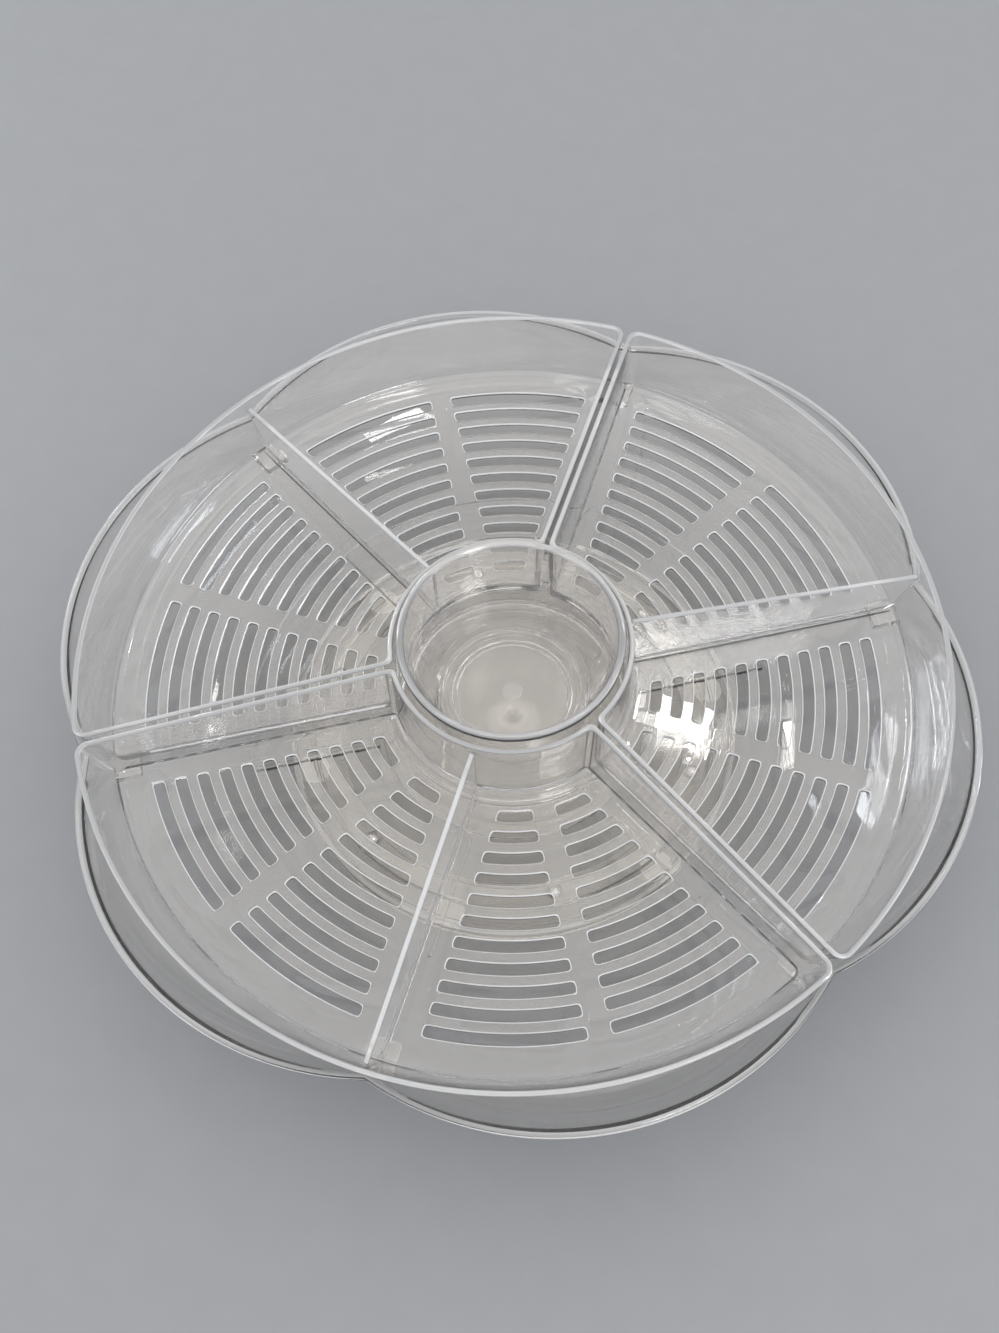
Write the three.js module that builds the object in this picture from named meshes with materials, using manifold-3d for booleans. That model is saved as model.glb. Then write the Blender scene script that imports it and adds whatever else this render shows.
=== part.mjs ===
// A lazy susan food server: a six-lobed clear ice bowl turns on a ball-race stand and carries three
// vented wedge trays, each split by a divider, round a tapered dip cup on a centre pedestal.
// Millimetres, +Z up. The origin is on the table, on the axis of the turntable.
// The gaps between the trays lie at 90, 210 and 330 degrees, so the shape mirrors in the YZ plane.
import * as THREE from "three";
import { mergeVertices } from "three/addons/utils/BufferGeometryUtils.js";
import Module from "manifold-3d";

const wasm = await Module();
wasm.setup();

// Pieces that rest on each other keep this gap.
const seat = 0.3;
const sixth = Math.PI / 3;

// The stand.
const padRadius = 7;
const padHeight = 1.2;
const padCircle = 95;
const plateRadius = 104;
const plateBottom = padHeight + seat;
const plateThickness = 3;
const plateTop = plateBottom + plateThickness;
const standLipHeight = 4;
const standLipWidth = 2.5;
const raceRadius = 86;
const ballRadius = 3;
const railHeight = 2;
const railWidth = 1.5;
const railClearance = 1;
const bossRadius = 12;
const bossFoot = 14;
const bossTop = 9.4;
const nutPocketRadius = 9.5;
const nutPocketTop = 5;
const pivotRadius = 2.4;
const pivotHole = 2.9;
const screwHeadRadius = 4.8;
const screwHeadHeight = 2.6;
const nutRadius = 5;
const upperWasherRadius = 8;
const upperWasherThickness = 1.3;
const thrustWasherRadius = 9;
const cageHalfWidth = 6;
const cageThickness = 1.6;
const cagePlay = 0.5;

// The ice bowl. Each lobe of its lip is an arc whose centre stands off the axis.
const ballTop = plateTop + seat + 2 * ballRadius;
const bowlBottom = ballTop + seat;
const bowlFloor = 2.6;
const bowlFloorTop = bowlBottom + bowlFloor;
const bowlFloorRadius = 125;
const bowlWall = 2.5;
const lipHeight = 65.5;
const lobeArc = 129.5;
const lobeOffset = 75;
const lipDepth = 2.4;
const lipStep = 0.6;
const ribHeight = 3;
const ribWidth = 2;
const ribSunk = 0.7;
const ledgeDepth = 5;
const ledgeWidth = 14;
const ledgeReach = 11;
const valleyRadius = lobeRadius(sixth / 2);

// The trays.
const trayFloorBottom = 47;
const trayFloor = 2;
const trayFloorTop = trayFloorBottom + trayFloor;
const trayRimHeight = 76;
const trayInnerHeight = 87;
const trayRimRadius = 190;
const trayFloorRadius = 178.3;
const trayInnerRadius = 50.6;
const trayWall = 2.3;
const trayGapTop = 0.9;
const trayGapBottom = 2.2;
const trayCorner = 6;
const trayInnerCorner = 3;

// The vents: concentric slots in two columns to each side of the divider.
const ventRows = 11;
const firstVent = 64.5;
const ventPitch = 9.65;
const ventWidth = 5;
const ventToWall = 13.2;
const ventToMiddle = 5;

// The dividers and the low rails on the tray floor that hold them.
const dividerThickness = 2;
const dividerBelowRim = 3;
const guideWidth = 1.2;
const guideHeight = 2;

// The dip cup and the pedestal under it.
const cupFoot = 38.2;
const cupRim = 92;
const cupRimRadius = 48.9;
const cupFloorRadius = 35.2;
const cupFootRadius = 27.2;
const cupWall = 2.4;
const pedestalWall = 2.5;
const pedestalRadius = 61;
const pedestalTop = trayFloorBottom - seat;
const pedestalPlate = cupFoot - seat;

const clearPlastic = new THREE.MeshStandardMaterial({
  color: 0xdfe2e4,
  roughness: 0.06,
  metalness: 0,
  transparent: true,
  opacity: 0.35,
});
const steel = new THREE.MeshStandardMaterial({ color: 0xc4c6c8, roughness: 0.25, metalness: 1 });
const silicone = new THREE.MeshStandardMaterial({
  color: 0xd3d6d7,
  roughness: 0.45,
  metalness: 0,
  transparent: true,
  opacity: 0.6,
});

// Distance from the axis to the lip, at an angle from the nearest lobe's peak.
function lobeRadius(angle) {
  const away = ((((angle + sixth / 2) % sixth) + sixth) % sixth) - sixth / 2;
  const across = lobeOffset * Math.sin(away);
  return lobeOffset * Math.cos(away) + Math.sqrt(lobeArc ** 2 - across ** 2);
}

function toSolid(geometry) {
  const bare = new THREE.BufferGeometry();
  bare.setAttribute("position", geometry.getAttribute("position"));
  if (geometry.index) bare.setIndex(geometry.index);
  const merged = mergeVertices(bare, 1e-4);
  const vertProperties = new Float32Array(merged.attributes.position.array);
  const triVerts = new Uint32Array(merged.index.array);
  return new wasm.Manifold(new wasm.Mesh({ numProp: 3, vertProperties, triVerts }));
}

function toGeometry(solid) {
  const mesh = solid.getMesh();
  const geometry = new THREE.BufferGeometry();
  geometry.setAttribute("position", new THREE.BufferAttribute(mesh.vertProperties, 3));
  geometry.setIndex(new THREE.BufferAttribute(mesh.triVerts, 1));
  geometry.computeVertexNormals();
  return geometry;
}

function addPiece(group, name, geometry, material) {
  const mesh = new THREE.Mesh(geometry, material);
  mesh.name = name;
  group.add(mesh);
  return mesh;
}

// A profile of [radius, height] pairs turned about Z. It runs counterclockwise in the radius-height plane,
// from the axis back to the axis, or round a closed loop.
function turned(profile, segments) {
  const points = profile.map(([r, z]) => new THREE.Vector2(r, z));
  if (points[0].x > 0) points.push(points[0].clone());
  return new THREE.LatheGeometry(points, segments).rotateX(Math.PI / 2);
}

function circlePath(x, y, radius, steps) {
  const circle = new THREE.EllipseCurve(x, y, radius, radius, 0, 2 * Math.PI);
  return circle.getPoints(steps).slice(0, -1);
}

// A flat plate with round holes, from one height up to another.
function plate(outline, holes, bottom, top) {
  const shape = new THREE.Shape(outline);
  shape.holes = holes.map((hole) => new THREE.Path(hole));
  const depth = top - bottom;
  return new THREE.ExtrudeGeometry(shape, { depth, bevelEnabled: false }).translate(0, 0, bottom);
}

// A closed skin through outlines that all have the same number of [x, y, z] points, capped at both ends.
function loft(outlines) {
  const count = outlines[0].length;
  const index = [];
  for (let level = 0; level + 1 < outlines.length; level += 1) {
    for (let i = 0; i < count; i += 1) {
      const a = level * count + i;
      const b = level * count + ((i + 1) % count);
      index.push(a, b, b + count, a, b + count, a + count);
    }
  }
  const flat = outlines[0].map(([x, y]) => new THREE.Vector2(x, y));
  const topStart = (outlines.length - 1) * count;
  for (const [a, b, c] of THREE.ShapeUtils.triangulateShape(flat, [])) {
    index.push(a, c, b);
    index.push(topStart + a, topStart + b, topStart + c);
  }
  const geometry = new THREE.BufferGeometry();
  geometry.setAttribute("position", new THREE.Float32BufferAttribute(outlines.flat(2), 3));
  geometry.setIndex(index);
  return geometry;
}

function footRing() {
  const railInner = raceRadius - ballRadius - railClearance;
  const railOuter = raceRadius + ballRadius + railClearance;
  return turned(
    [
      [pivotHole, nutPocketTop],
      [nutPocketRadius, nutPocketTop],
      [nutPocketRadius, plateBottom],
      [plateRadius, plateBottom],
      [plateRadius, plateTop + standLipHeight],
      [plateRadius - standLipWidth, plateTop + standLipHeight],
      [plateRadius - standLipWidth, plateTop],
      [railOuter + railWidth, plateTop],
      [railOuter + railWidth, plateTop + railHeight],
      [railOuter, plateTop + railHeight],
      [railOuter, plateTop],
      [railInner, plateTop],
      [railInner, plateTop + railHeight],
      [railInner - railWidth, plateTop + railHeight],
      [railInner - railWidth, plateTop],
      [bossFoot, plateTop],
      [bossRadius, bossTop],
      [pivotHole, bossTop],
    ],
    40,
  );
}

function ballCage() {
  const bottom = plateTop + railHeight + 2 * seat;
  const ballHole = ballRadius + cagePlay;
  const holes = [circlePath(0, 0, raceRadius - cageHalfWidth, 36)];
  for (let k = 0; k < 6; k += 1) {
    const angle = k * sixth;
    holes.push(circlePath(raceRadius * Math.cos(angle), raceRadius * Math.sin(angle), ballHole, 12));
  }
  const rim = circlePath(0, 0, raceRadius + cageHalfWidth, 36);
  return plate(rim, holes, bottom, bottom + cageThickness);
}

function ring(inner, outer, bottom, top, segments) {
  return turned(
    [
      [inner, bottom],
      [outer, bottom],
      [outer, top],
      [inner, top],
    ],
    segments,
  );
}

function pivotScrew() {
  const headBottom = bowlFloorTop + 2 * seat + upperWasherThickness;
  const headTop = headBottom + screwHeadHeight;
  return turned(
    [
      [0, plateBottom + seat],
      [pivotRadius, plateBottom + seat],
      [pivotRadius, headBottom],
      [screwHeadRadius, headBottom],
      [screwHeadRadius, headTop - 1],
      [screwHeadRadius - 1.2, headTop],
      [0, headTop],
    ],
    16,
  );
}

function pivotNut() {
  const corners = circlePath(0, 0, nutRadius, 6);
  const bottom = plateBottom + 2 * seat;
  return plate(corners, [circlePath(0, 0, pivotHole, 12)], bottom, nutPocketTop - seat);
}

// The bowl's inner radius at a valley of the lip: a quarter ellipse from the floor up to the lip.
function valleyInner(height) {
  const down = (lipHeight - height) / (lipHeight - bowlFloorTop);
  const reach = valleyRadius - bowlWall - bowlFloorRadius;
  return bowlFloorRadius + reach * Math.sqrt(Math.max(0, 1 - down ** 2));
}

// One loop of the bowl's section: [valley radius, height, share of the lobe that the loop follows].
function bowlSection() {
  const heights = [0, 0.03, 0.11, 0.25, 0.45, 0.7].map(
    (share) => bowlFloorTop + share * (lipHeight - bowlFloorTop),
  );
  const share = (height) => Math.max(0, (height - bowlFloorTop) / (lipHeight - bowlFloorTop)) ** 1.4;
  const inner = heights.map((height) => [valleyInner(height), height, share(height)]);
  const outer = inner.slice(1).map(([r, z, s], i) => {
    const [r0, z0] = inner[i];
    const slope = Math.hypot(r - r0, z - z0);
    return [r + (bowlWall * (z - z0)) / slope, z - (bowlWall * (r - r0)) / slope, s];
  });
  const lip = [
    [valleyRadius - bowlWall + lipStep, lipHeight - lipDepth, 0.95],
    [valleyRadius, lipHeight - lipDepth, 1],
    [valleyRadius, lipHeight, 1],
    [valleyRadius - bowlWall, lipHeight, 1],
  ];
  return [
    [pivotHole, bowlBottom, 0],
    [bowlFloorRadius, bowlBottom, 0],
    ...outer,
    ...lip,
    ...inner.reverse(),
    [pivotHole, bowlFloorTop, 0],
  ];
}

function iceBowl() {
  const steps = 60;
  const section = bowlSection();
  const count = section.length;
  const positions = [];
  const index = [];
  for (let i = 0; i < steps; i += 1) {
    const angle = (i * 2 * Math.PI) / steps;
    const extra = lobeRadius(angle) - valleyRadius;
    for (const [r, z, share] of section) {
      const radius = r + share * extra;
      positions.push(radius * Math.cos(angle), radius * Math.sin(angle), z);
    }
    for (let j = 0; j < count; j += 1) {
      const a = i * count + j;
      const b = i * count + ((j + 1) % count);
      const c = ((i + 1) % steps) * count + ((j + 1) % count);
      const d = ((i + 1) % steps) * count + j;
      index.push(a, c, b, a, d, c);
    }
  }
  const skin = new THREE.BufferGeometry();
  skin.setAttribute("position", new THREE.Float32BufferAttribute(positions, 3));
  skin.setIndex(index);
  let bowl = toSolid(skin);
  for (let k = 0; k < 6; k += 1) {
    const angle = (k + 0.5) * sixth;
    bowl = bowl.add(toSolid(trayLedge().rotateZ(angle)));
    bowl = bowl.add(toSolid(floorRib().rotateZ(angle)));
  }
  return toGeometry(bowl);
}

// A shelf on the bowl's wall, under a gap between trays or under a divider.
function trayLedge() {
  const top = trayFloorBottom - seat;
  const inner = trayFloorRadius - ledgeReach;
  const outer = valleyInner(top - ledgeDepth) + bowlWall / 2;
  const box = new THREE.BoxGeometry(outer - inner, ledgeWidth, ledgeDepth);
  return box.translate((inner + outer) / 2, 0, top - ledgeDepth / 2);
}

function floorRib() {
  const inner = pedestalRadius + 2;
  const outer = bowlFloorRadius - 4;
  const box = new THREE.BoxGeometry(outer - inner, ribWidth, ribHeight);
  return box.translate((inner + outer) / 2, 0, bowlFloorTop + ribHeight / 2 - ribSunk);
}

function centerPedestal() {
  return turned(
    [
      [0, pedestalPlate - pedestalWall],
      [pedestalRadius - 10.4, pedestalPlate - pedestalWall],
      [pedestalRadius - pedestalWall, bowlFloorTop + seat],
      [pedestalRadius, bowlFloorTop + seat],
      [pedestalRadius - 3.5, pedestalTop],
      [pedestalRadius - 7.4, pedestalTop],
      [pedestalRadius - 9.6, pedestalPlate],
      [0, pedestalPlate],
    ],
    40,
  );
}

// Half of a 120 degree wedge in plan, from the middle of its outer arc round to the middle of its inner arc.
// The straight side runs parallel to the 60 degree ray, at the given offset from it.
function halfWedge(inner, outer, offset, outerCorner, innerCorner) {
  const alongSide = (radius, corner) =>
    Math.sqrt((radius + corner) ** 2 - (offset + Math.abs(corner)) ** 2);
  const outerCentre = [alongSide(outer, -outerCorner), offset + outerCorner];
  const innerCentre = [alongSide(inner, innerCorner), offset + innerCorner];
  const outerAngle = sixth - Math.atan2(outerCentre[1], outerCentre[0]);
  const innerAngle = sixth - Math.atan2(innerCentre[1], innerCentre[0]);
  const side = new THREE.Vector2(Math.cos(sixth), Math.sin(sixth));
  const inward = new THREE.Vector2(side.y, -side.x);
  const place = ([u, v]) => side.clone().multiplyScalar(u).addScaledVector(inward, v);
  const arc = (centre, radius, from, to, steps) =>
    Array.from({ length: steps + 1 }, (_, i) => {
      const angle = from + ((to - from) * i) / steps;
      return new THREE.Vector2(centre.x + radius * Math.cos(angle), centre.y + radius * Math.sin(angle));
    });
  const origin = new THREE.Vector2();
  const outward = sixth + Math.PI / 2;
  return [
    ...arc(origin, outer, 0, outerAngle, 9).slice(0, -1),
    ...arc(place(outerCentre), outerCorner, outerAngle, outward, 4),
    ...arc(place(innerCentre), innerCorner, outward, innerAngle + Math.PI, 3),
    ...arc(origin, inner, innerAngle, 0, 5).slice(1),
  ];
}

function wedgeOutline(inner, outer, offset, outerCorner, innerCorner, height) {
  const half = halfWedge(inner, outer, offset, outerCorner, innerCorner);
  const mirrored = half.slice(1, -1).reverse();
  const upper = half.map(({ x, y }) => [x, y, height]);
  const lower = mirrored.map(({ x, y }) => [x, -y, height]);
  return [...upper, ...lower];
}

// The walls' tops lie on a cone that rises from the outer rim to the inner wall.
function rimCone(radius, below = 0) {
  const rise = (trayInnerHeight - trayRimHeight) / (trayRimRadius - trayInnerRadius);
  return trayRimHeight + rise * (trayRimRadius - radius) - below;
}

// The tray's outer face leans outwards and its sides lean in a little. inset is measured inwards from them.
function trayOutline(height, inset) {
  const share = (height - trayFloorBottom) / (trayRimHeight - trayFloorBottom);
  const outer = trayFloorRadius + share * (trayRimRadius - trayFloorRadius) - inset;
  const offset = trayGapBottom + share * (trayGapTop - trayGapBottom) + inset;
  return wedgeOutline(trayInnerRadius + inset, outer, offset, trayCorner - inset, trayInnerCorner, height);
}

function onRimCone(outline) {
  return outline.map(([x, y]) => [x, y, rimCone(Math.hypot(x, y))]);
}

function trayShell() {
  return loft([
    trayOutline(trayFloorBottom, 0),
    onRimCone(trayOutline(trayRimHeight, 0)),
    onRimCone(trayOutline(trayRimHeight, trayWall)),
    trayOutline(trayFloorTop, trayWall),
  ]);
}

// A slot that follows a circle, with its ends parallel to the rays beside it.
function vent(radius, fromRay, fromOffset, toRay, toOffset) {
  const edge = (r, steps) =>
    Array.from({ length: steps + 1 }, (_, i) => {
      const start = fromRay + Math.asin(fromOffset / r);
      const end = toRay - Math.asin(toOffset / r);
      const angle = start + ((end - start) * i) / steps;
      return new THREE.Vector2(r * Math.cos(angle), r * Math.sin(angle));
    });
  const steps = radius > 130 ? 3 : 2;
  const outline = [
    ...edge(radius + ventWidth / 2, steps),
    ...edge(radius - ventWidth / 2, steps).reverse(),
  ];
  return plate(outline, [], trayFloorBottom - 1, trayFloorTop + 1);
}

function dividerGuide(side) {
  const inner = trayInnerRadius + trayWall - 0.5;
  const outer = trayFloorRadius - trayWall;
  const across = side * (dividerThickness / 2 + seat + guideWidth / 2);
  const box = new THREE.BoxGeometry(outer - inner, guideWidth, guideHeight + 1);
  return box.translate((inner + outer) / 2, across, trayFloorTop + (guideHeight - 1) / 2);
}

// The tray lies with its middle on +X.
function tray() {
  let shell = toSolid(trayShell());
  shell = shell.add(toSolid(dividerGuide(1))).add(toSolid(dividerGuide(-1)));
  const middle = sixth / 2;
  for (let row = 0; row < ventRows; row += 1) {
    const radius = firstVent + row * ventPitch;
    for (const [from, fromOffset, to, toOffset] of [
      [0, ventToWall, middle, ventToMiddle],
      [middle, ventToMiddle, sixth, ventToWall],
      [-middle, ventToMiddle, 0, ventToWall],
      [-sixth, ventToWall, -middle, ventToMiddle],
    ]) {
      shell = shell.subtract(toSolid(vent(radius, from, fromOffset, to, toOffset)));
    }
  }
  return toGeometry(shell);
}

function divider() {
  const inner = trayInnerRadius + trayWall + seat;
  const lean = (trayRimRadius - trayFloorRadius) / (trayRimHeight - trayFloorBottom);
  const wallFace = (height) => trayFloorRadius + lean * (height - trayFloorBottom) - trayWall - 2 * seat;
  const bottom = trayFloorTop + seat;
  const tipHeight = trayRimHeight - dividerBelowRim;
  const outline = [
    new THREE.Vector2(inner, bottom),
    new THREE.Vector2(wallFace(bottom), bottom),
    new THREE.Vector2(wallFace(tipHeight), tipHeight),
    new THREE.Vector2(inner, rimCone(inner, dividerBelowRim)),
  ];
  const shape = new THREE.Shape(outline);
  const sheet = new THREE.ExtrudeGeometry(shape, { depth: dividerThickness, bevelEnabled: false });
  return sheet.translate(0, 0, -dividerThickness / 2).rotateX(Math.PI / 2);
}

function dipCup() {
  const base = cupFoot + 1.4;
  return turned(
    [
      [0, base],
      [cupFootRadius - 2.4, base],
      [cupFootRadius - 2.4, cupFoot],
      [cupFootRadius, cupFoot],
      [cupFootRadius, base],
      [cupFloorRadius - 2.4, base],
      [cupFloorRadius + 0.8, base + 2.4],
      [cupRimRadius - 0.9, cupRim - 2],
      [cupRimRadius, cupRim - 1.6],
      [cupRimRadius, cupRim],
      [cupRimRadius - cupWall - 0.6, cupRim],
      [cupFloorRadius - 1.4, base + 4.2],
      [cupFloorRadius - 4, base + 2.2],
      [0, base + 2.2],
    ],
    40,
  );
}

function buildStand(group) {
  addPiece(group, "foot_ring", footRing(), clearPlastic);
  for (let k = 0; k < 6; k += 1) {
    const angle = (k + 0.5) * sixth;
    const disc = new THREE.CylinderGeometry(padRadius, padRadius, padHeight, 16).rotateX(Math.PI / 2);
    const pad = addPiece(group, `foot_pad_${k + 1}`, disc, silicone);
    pad.position.set(padCircle * Math.cos(angle), padCircle * Math.sin(angle), padHeight / 2);
  }
  addPiece(group, "pivot_screw", pivotScrew(), clearPlastic);
  addPiece(group, "pivot_nut", pivotNut(), clearPlastic);
  const washerBottom = bowlFloorTop + seat;
  const washerTop = washerBottom + upperWasherThickness;
  const washer = ring(pivotHole, upperWasherRadius, washerBottom, washerTop, 24);
  addPiece(group, "upper_washer", washer, clearPlastic);
  const thrust = ring(pivotHole, thrustWasherRadius, bossTop + seat, bowlBottom - seat, 24);
  addPiece(group, "thrust_washer", thrust, clearPlastic);
}

function buildBallRace(group) {
  addPiece(group, "ball_cage", ballCage(), clearPlastic);
  for (let k = 0; k < 6; k += 1) {
    const ball = addPiece(group, `ball_${k + 1}`, new THREE.SphereGeometry(ballRadius, 8, 6), steel);
    const angle = k * sixth;
    const height = plateTop + seat + ballRadius;
    ball.position.set(raceRadius * Math.cos(angle), raceRadius * Math.sin(angle), height);
  }
}

function buildTrays(group) {
  const trayGeometry = tray();
  const dividerGeometry = divider();
  for (const [place, degrees] of [
    ["front", 270],
    ["right", 30],
    ["left", 150],
  ]) {
    const wedge = new THREE.Group();
    wedge.rotation.z = THREE.MathUtils.degToRad(degrees);
    addPiece(wedge, `tray_${place}`, trayGeometry, clearPlastic);
    addPiece(wedge, `divider_${place}`, dividerGeometry, clearPlastic);
    group.add(wedge);
  }
}

const turntable = new THREE.Group();
turntable.name = "lazy_susan_turntable";
buildStand(turntable);
buildBallRace(turntable);
addPiece(turntable, "ice_bowl", iceBowl(), clearPlastic);
addPiece(turntable, "center_pedestal", centerPedestal(), clearPlastic);
buildTrays(turntable);
addPiece(turntable, "dip_cup", dipCup(), clearPlastic);

export default turntable;
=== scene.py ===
import math

import bmesh
import bpy
from mathutils import Matrix, Vector


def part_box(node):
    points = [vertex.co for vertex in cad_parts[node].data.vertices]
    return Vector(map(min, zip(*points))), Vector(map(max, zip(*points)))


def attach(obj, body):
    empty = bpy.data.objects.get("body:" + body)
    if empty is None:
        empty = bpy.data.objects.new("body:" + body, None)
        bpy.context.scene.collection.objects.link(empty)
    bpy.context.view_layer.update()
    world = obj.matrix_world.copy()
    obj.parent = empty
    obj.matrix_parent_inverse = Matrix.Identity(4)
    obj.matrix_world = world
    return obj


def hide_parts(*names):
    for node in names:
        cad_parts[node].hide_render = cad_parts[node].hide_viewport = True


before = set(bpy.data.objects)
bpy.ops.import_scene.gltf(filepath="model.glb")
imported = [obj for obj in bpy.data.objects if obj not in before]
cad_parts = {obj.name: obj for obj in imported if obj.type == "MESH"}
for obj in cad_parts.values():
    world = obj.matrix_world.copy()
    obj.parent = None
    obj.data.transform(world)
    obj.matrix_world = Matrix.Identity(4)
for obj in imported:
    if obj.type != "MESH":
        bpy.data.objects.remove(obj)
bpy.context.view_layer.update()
scene = bpy.context.scene
sixth = math.pi / 3
print("frame loaded:", len(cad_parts), "nodes")


# Shapes are worked out in millimetres and scaled once, when a mesh is made.
mm = 0.001


def boxOf(node):
    low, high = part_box(node)
    return low / mm, high / mm


def meshFrom(name, points, faces):
    # a mesh object from points in millimetres
    mesh = bpy.data.meshes.new(name)
    mesh.from_pydata([Vector(point) * mm for point in points], [], faces)
    return bpy.data.objects.new(name, mesh)


def show(piece):
    if piece.name not in scene.collection.objects:
        scene.collection.objects.link(piece)
    return piece


def cleanUp(piece):
    # closes seams, turns every face outwards and keeps the crisp edges crisp
    near = 0.002 * mm
    shape = bmesh.new()
    shape.from_mesh(piece.data)
    bmesh.ops.remove_doubles(shape, verts=shape.verts, dist=near)
    bmesh.ops.dissolve_degenerate(shape, dist=near, edges=shape.edges)
    bmesh.ops.recalc_face_normals(shape, faces=shape.faces)
    for face in shape.faces:
        face.smooth = True
    limit = math.radians(34)    # edges that turn more than this stay sharp
    for edge in shape.edges:
        edge.smooth = len(edge.link_faces) != 2 or edge.calc_face_angle() < limit
    shape.to_mesh(piece.data)
    shape.free()
    return piece


def bake(piece):
    # turns the modifiers' result into the piece's own plain mesh
    bpy.context.view_layer.update()
    graph = bpy.context.evaluated_depsgraph_get()
    mesh = bpy.data.meshes.new_from_object(piece.evaluated_get(graph))
    mesh.name = piece.name
    piece.modifiers.clear()
    old = piece.data
    piece.data = mesh
    bpy.data.meshes.remove(old)
    return piece


def combine(piece, tool, operation):
    # joins or cuts two closed shapes, and drops the second
    cut = piece.modifiers.new("combine", "BOOLEAN")
    cut.operation = operation
    cut.solver = "MANIFOLD"
    cut.object = tool
    piece.modifiers.new("split", "TRIANGULATE").min_vertices = 5
    show(tool)
    bake(piece)
    bpy.data.objects.remove(tool)
    return piece


def softened(corners, steps=3):
    # a closed outline of [x, y] or [x, y, radius]: a corner with a radius becomes an arc
    most = 0.48    # the share of a side that one arc may take
    outline = []
    count = len(corners)
    for i, corner in enumerate(corners):
        here = Vector(corner[:2])
        radius = corner[2] if len(corner) > 2 else 0
        before = Vector(corners[i - 1][:2]) - here
        after = Vector(corners[(i + 1) % count][:2]) - here
        if radius == 0:
            outline.append(tuple(here))
            continue
        half = before.angle(after) / 2
        reach = min(radius / math.tan(half), most * before.length, most * after.length)
        radius = reach * math.tan(half)
        middle = here + (before.normalized() + after.normalized()).normalized() * radius / math.sin(half)
        start = here + before.normalized() * reach - middle
        end = here + after.normalized() * reach - middle
        turn = start.angle_signed(end)
        for step in range(steps + 1):
            spoke = start.copy()
            spoke.rotate(Matrix.Rotation(-turn * step / steps, 2))
            outline.append(tuple(middle + spoke))
    return outline


def turned(name, section, steps=128, extra=None):
    # turns a section of [radius, height] about Z. A third value says how much of extra(angle) a point takes.
    onAxis = 1e-6
    points, faces, rings = [], [], []
    for entry in section:
        radius, height = entry[:2]
        share = entry[2] if len(entry) > 2 else 0
        if radius < onAxis:
            rings.append([len(points)] * steps)
            points.append((0, 0, height))
            continue
        rings.append([len(points) + k for k in range(steps)])
        for k in range(steps):
            angle = 2 * math.pi * k / steps
            reach = radius + (share * extra(angle) if share else 0)
            points.append((reach * math.cos(angle), reach * math.sin(angle), height))
    closed = section[0][0] > onAxis
    for i in range(len(rings) if closed else len(rings) - 1):
        a, b = rings[i], rings[(i + 1) % len(rings)]
        for k in range(steps):
            n = (k + 1) % steps
            loop = [a[k], a[n], b[n], b[k]]
            faces.append(list(dict.fromkeys(loop)))
    return cleanUp(meshFrom(name, points, [face for face in faces if len(face) > 2]))


def stacked(name, loops):
    # a closed skin through loops that all have the same number of points, capped at both ends
    count = len(loops[0])
    points = [point for loop in loops for point in loop]
    faces = [list(range(count))[::-1], list(range(len(points) - count, len(points)))]
    for level in range(len(loops) - 1):
        for i in range(count):
            a = level * count + i
            b = level * count + (i + 1) % count
            faces.append([a, b, b + count, a + count])
    return cleanUp(meshFrom(name, points, faces))


def block(name, low, high, radius=0.4):
    # a box with rounded edges between two corners
    shape = bmesh.new()
    bmesh.ops.create_cube(shape, size=1)
    low, high = Vector(low), Vector(high)
    for vert in shape.verts:
        spread = Vector([a * b for a, b in zip(vert.co, high - low)])
        vert.co = ((low + high) / 2 + spread) * mm
    bmesh.ops.bevel(shape, geom=shape.edges, offset=radius * mm, segments=2, profile=0.5, affect="EDGES")
    piece = bpy.data.objects.new(name, bpy.data.meshes.new(name))
    shape.to_mesh(piece.data)
    shape.free()
    return cleanUp(piece)


class Wire:
    # one output socket: sums on it add Math nodes
    def __init__(self, graph, node, socket):
        self.graph, self.node, self.socket = graph, node, socket

    def out(self, name):
        return Wire(self.graph, self.node, self.node.outputs[name])

    def math(self, operation, *values):
        return self.graph.add("ShaderNodeMath", {"operation": operation}, dict(enumerate(values)))

    def __add__(self, other):
        return self.math("ADD", self, other)

    def __radd__(self, other):
        return self.math("ADD", other, self)

    def __sub__(self, other):
        return self.math("SUBTRACT", self, other)

    def __rsub__(self, other):
        return self.math("SUBTRACT", other, self)

    def __mul__(self, other):
        return self.math("MULTIPLY", self, other)

    def __truediv__(self, other):
        return self.math("DIVIDE", self, other)

    def __gt__(self, other):
        return self.math("GREATER_THAN", self, other)

    def __mod__(self, other):
        return self.math("MODULO", self, other)


class Graph:
    # a node tree, of a material, of the world or of Geometry Nodes
    def __init__(self, tree):
        self.tree = tree

    def plug(self, value, socket):
        if isinstance(value, Wire):
            self.tree.links.new(value.socket, socket)
        else:
            socket.default_value = value

    def add(self, kind, settings=None, inputs=None, output=0):
        node = self.tree.nodes.new(kind)
        for name, value in (settings or {}).items():
            if name == "stops":
                ramp = node.color_ramp.elements
                while len(ramp) < len(value):
                    ramp.new(0.5)
                for stop, (where, colour) in zip(ramp, value):
                    stop.position, stop.color = where, (*colour, 1)
            else:
                setattr(node, name, value)
        for name, value in (inputs or {}).items():
            self.plug(value, node.inputs[name])
        return Wire(self, node, node.outputs[output] if len(node.outputs) else None)


def geometryTree(name, inputs):
    # a Geometry Nodes tree with a geometry going in and out, and the named sizes
    tree = bpy.data.node_groups.new(name, "GeometryNodeTree")
    tree.interface.new_socket("Geometry", in_out="INPUT", socket_type="NodeSocketGeometry")
    tree.interface.new_socket("Geometry", in_out="OUTPUT", socket_type="NodeSocketGeometry")
    for label, kind in inputs.items():
        tree.interface.new_socket(label, in_out="INPUT", socket_type="NodeSocket" + kind)
    graph = Graph(tree)
    return graph, graph.add("NodeGroupInput")


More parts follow.
